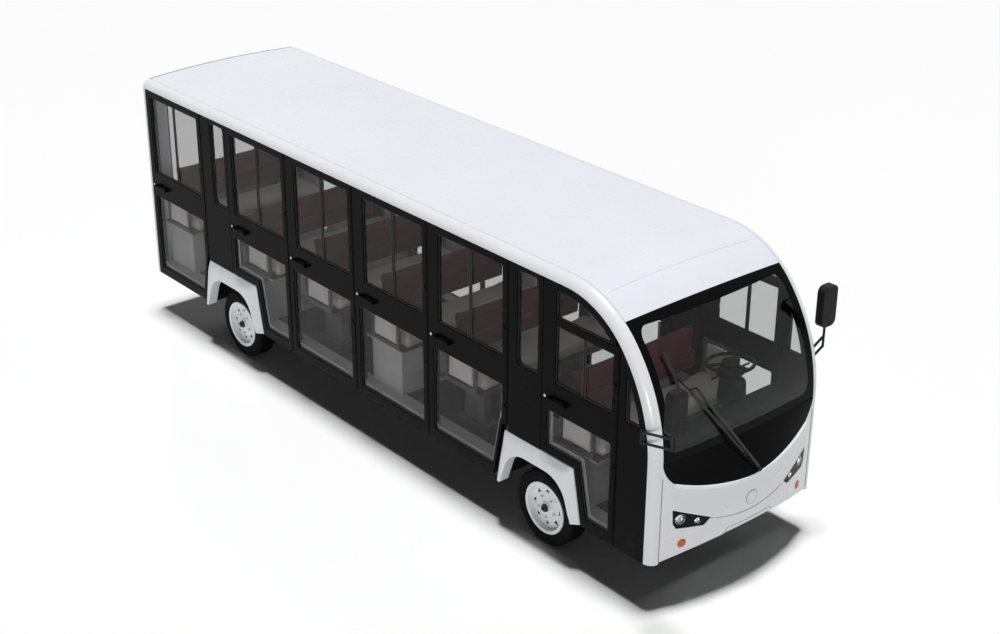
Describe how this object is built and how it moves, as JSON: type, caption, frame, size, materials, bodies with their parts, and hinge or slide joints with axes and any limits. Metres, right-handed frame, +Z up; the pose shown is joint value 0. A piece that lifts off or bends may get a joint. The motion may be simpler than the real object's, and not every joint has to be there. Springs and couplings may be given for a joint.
{
  "type": "sightseeing car",
  "caption": "Open-plan sightseeing car with rows of bench seats, hinged glazed doors along both sides, a white roof arch and front mask, steered front wheels and spinning road wheels.",
  "frame": {"origin": "middle of the footprint on the ground", "axes": "+X towards the nose, +Y to the vehicle's left, +Z up"},
  "size_m": [6.425, 1.842, 2.1677],
  "materials": {
    "white_paint": "gloss white enamel",
    "black_paint": "gloss black enamel",
    "tinted_glass": "grey tinted glass",
    "clear_glass": "clear laminated glass",
    "black_plastic": "grained black plastic",
    "lamp_black": "gloss black lamp housing",
    "lens": "clear, amber and red moulded lenses",
    "tyre_rubber": "tread rubber",
    "rim_white": "white enamelled pressed steel",
    "chassis_black": "black chassis paint",
    "steel": "bare machined steel",
    "deck": "dark ribbed floor covering",
    "seat_grey": "grey painted sheet and tube",
    "cream_hide": "cream upholstery",
    "maroon_hide": "maroon upholstery"
  },
  "bodies": {
    "root": {"axles": "chassis_black", "battery_box": "chassis_black", "chassis_frame": "chassis_black", "cowl_panel": "black_paint", "dashboard": "black_plastic", "door_hinges": "steel", "fixed_glass": "tinted_glass", "fixed_panels": "black_paint", "floor_deck": "deck", "front_mask": "white_paint", "headlamp_housings": "lamp_black", "lamp_lenses": "lens", "mirrors": "black_plastic", "rear_wall": "white_paint", "roof_panel": "white_paint", "seat_backs": "maroon_hide", "seat_cushions": "cream_hide", "seat_frames": "seat_grey", "side_arches": "white_paint", "side_posts": "black_paint", "steering_gear": "black_plastic", "wheel_flares": "white_paint", "wheel_houses": "chassis_black", "windscreen_glass": "clear_glass", "windscreen_surround": "black_paint", "wiper": "black_plastic"},
    "door_row_1_left": {"door_row_1_left": "black_paint", "door_glass_row_1_left": "tinted_glass"},
    "door_row_1_right": {"door_row_1_right": "black_paint", "door_glass_row_1_right": "tinted_glass"},
    "door_row_2_left": {"door_row_2_left": "black_paint", "door_glass_row_2_left": "tinted_glass"},
    "door_row_2_right": {"door_row_2_right": "black_paint", "door_glass_row_2_right": "tinted_glass"},
    "door_row_3_left": {"door_row_3_left": "black_paint", "door_glass_row_3_left": "tinted_glass"},
    "door_row_3_right": {"door_row_3_right": "black_paint", "door_glass_row_3_right": "tinted_glass"},
    "door_row_4_left": {"door_row_4_left": "black_paint", "door_glass_row_4_left": "tinted_glass"},
    "door_row_4_right": {"door_row_4_right": "black_paint", "door_glass_row_4_right": "tinted_glass"},
    "door_row_5_left": {"door_row_5_left": "black_paint", "door_glass_row_5_left": "tinted_glass"},
    "door_row_5_right": {"door_row_5_right": "black_paint", "door_glass_row_5_right": "tinted_glass"},
    "door_row_6_left": {"door_row_6_left": "black_paint", "door_glass_row_6_left": "tinted_glass"},
    "door_row_6_right": {"door_row_6_right": "black_paint", "door_glass_row_6_right": "tinted_glass"},
    "knuckle_left": {"knuckle_left": "steel"},
    "knuckle_right": {"knuckle_right": "steel"},
    "wheel_front_left": {"rim_front_left": "rim_white", "tyre_front_left": "tyre_rubber"},
    "wheel_front_right": {"rim_front_right": "rim_white", "tyre_front_right": "tyre_rubber"},
    "wheel_rear_left": {"rim_rear_left": "rim_white", "tyre_rear_left": "tyre_rubber"},
    "wheel_rear_right": {"rim_rear_right": "rim_white", "tyre_rear_right": "tyre_rubber"}
  },
  "joints": [
    {"name": "door_row_1_left_hinge", "type": "hinge", "parent": "root", "child": "door_row_1_left", "pos_m": [2.618, 0.782, 1.26], "axis": [0, 0, -1], "range_deg": [0, 75]},
    {"name": "door_row_1_right_hinge", "type": "hinge", "parent": "root", "child": "door_row_1_right", "pos_m": [2.618, -0.782, 1.26], "axis": [0, 0, 1], "range_deg": [0, 75]},
    {"name": "door_row_2_left_hinge", "type": "hinge", "parent": "root", "child": "door_row_2_left", "pos_m": [1.538, 0.782, 1.26], "axis": [0, 0, -1], "range_deg": [0, 75]},
    {"name": "door_row_2_right_hinge", "type": "hinge", "parent": "root", "child": "door_row_2_right", "pos_m": [1.538, -0.782, 1.26], "axis": [0, 0, 1], "range_deg": [0, 75]},
    {"name": "door_row_3_left_hinge", "type": "hinge", "parent": "root", "child": "door_row_3_left", "pos_m": [0.661, 0.782, 1.26], "axis": [0, 0, -1], "range_deg": [0, 75]},
    {"name": "door_row_3_right_hinge", "type": "hinge", "parent": "root", "child": "door_row_3_right", "pos_m": [0.661, -0.782, 1.26], "axis": [0, 0, 1], "range_deg": [0, 75]},
    {"name": "door_row_4_left_hinge", "type": "hinge", "parent": "root", "child": "door_row_4_left", "pos_m": [-0.233, 0.782, 1.26], "axis": [0, 0, -1], "range_deg": [0, 75]},
    {"name": "door_row_4_right_hinge", "type": "hinge", "parent": "root", "child": "door_row_4_right", "pos_m": [-0.233, -0.782, 1.26], "axis": [0, 0, 1], "range_deg": [0, 75]},
    {"name": "door_row_5_left_hinge", "type": "hinge", "parent": "root", "child": "door_row_5_left", "pos_m": [-1.111, 0.782, 1.26], "axis": [0, 0, -1], "range_deg": [0, 75]},
    {"name": "door_row_5_right_hinge", "type": "hinge", "parent": "root", "child": "door_row_5_right", "pos_m": [-1.111, -0.782, 1.26], "axis": [0, 0, 1], "range_deg": [0, 75]},
    {"name": "door_row_6_left_hinge", "type": "hinge", "parent": "root", "child": "door_row_6_left", "pos_m": [-2.336, 0.782, 1.26], "axis": [0, 0, -1], "range_deg": [0, 75]},
    {"name": "door_row_6_right_hinge", "type": "hinge", "parent": "root", "child": "door_row_6_right", "pos_m": [-2.336, -0.782, 1.26], "axis": [0, 0, 1], "range_deg": [0, 75]},
    {"name": "steer_left", "type": "hinge", "parent": "root", "child": "knuckle_left", "pos_m": [1.906, 0.56, 0.288], "axis": [0, 0, 1], "range_deg": [-28, 28]},
    {"name": "steer_right", "type": "hinge", "parent": "root", "child": "knuckle_right", "pos_m": [1.906, -0.56, 0.288], "axis": [0, 0, 1], "range_deg": [-28, 28]},
    {"name": "wheel_front_left_spin", "type": "hinge", "parent": "knuckle_left", "child": "wheel_front_left", "pos_m": [1.906, 0.6795, 0.288], "axis": [0, 1, 0], "continuous": true},
    {"name": "wheel_front_right_spin", "type": "hinge", "parent": "knuckle_right", "child": "wheel_front_right", "pos_m": [1.906, -0.6795, 0.288], "axis": [0, 1, 0], "continuous": true},
    {"name": "wheel_rear_left_spin", "type": "hinge", "parent": "root", "child": "wheel_rear_left", "pos_m": [-1.934, 0.6795, 0.288], "axis": [0, 1, 0], "continuous": true},
    {"name": "wheel_rear_right_spin", "type": "hinge", "parent": "root", "child": "wheel_rear_right", "pos_m": [-1.934, -0.6795, 0.288], "axis": [0, 1, 0], "continuous": true}
  ],
  "couplings": [
    {"joint": "steer_right", "follows": "steer_left", "ratio": 1}
  ]
}
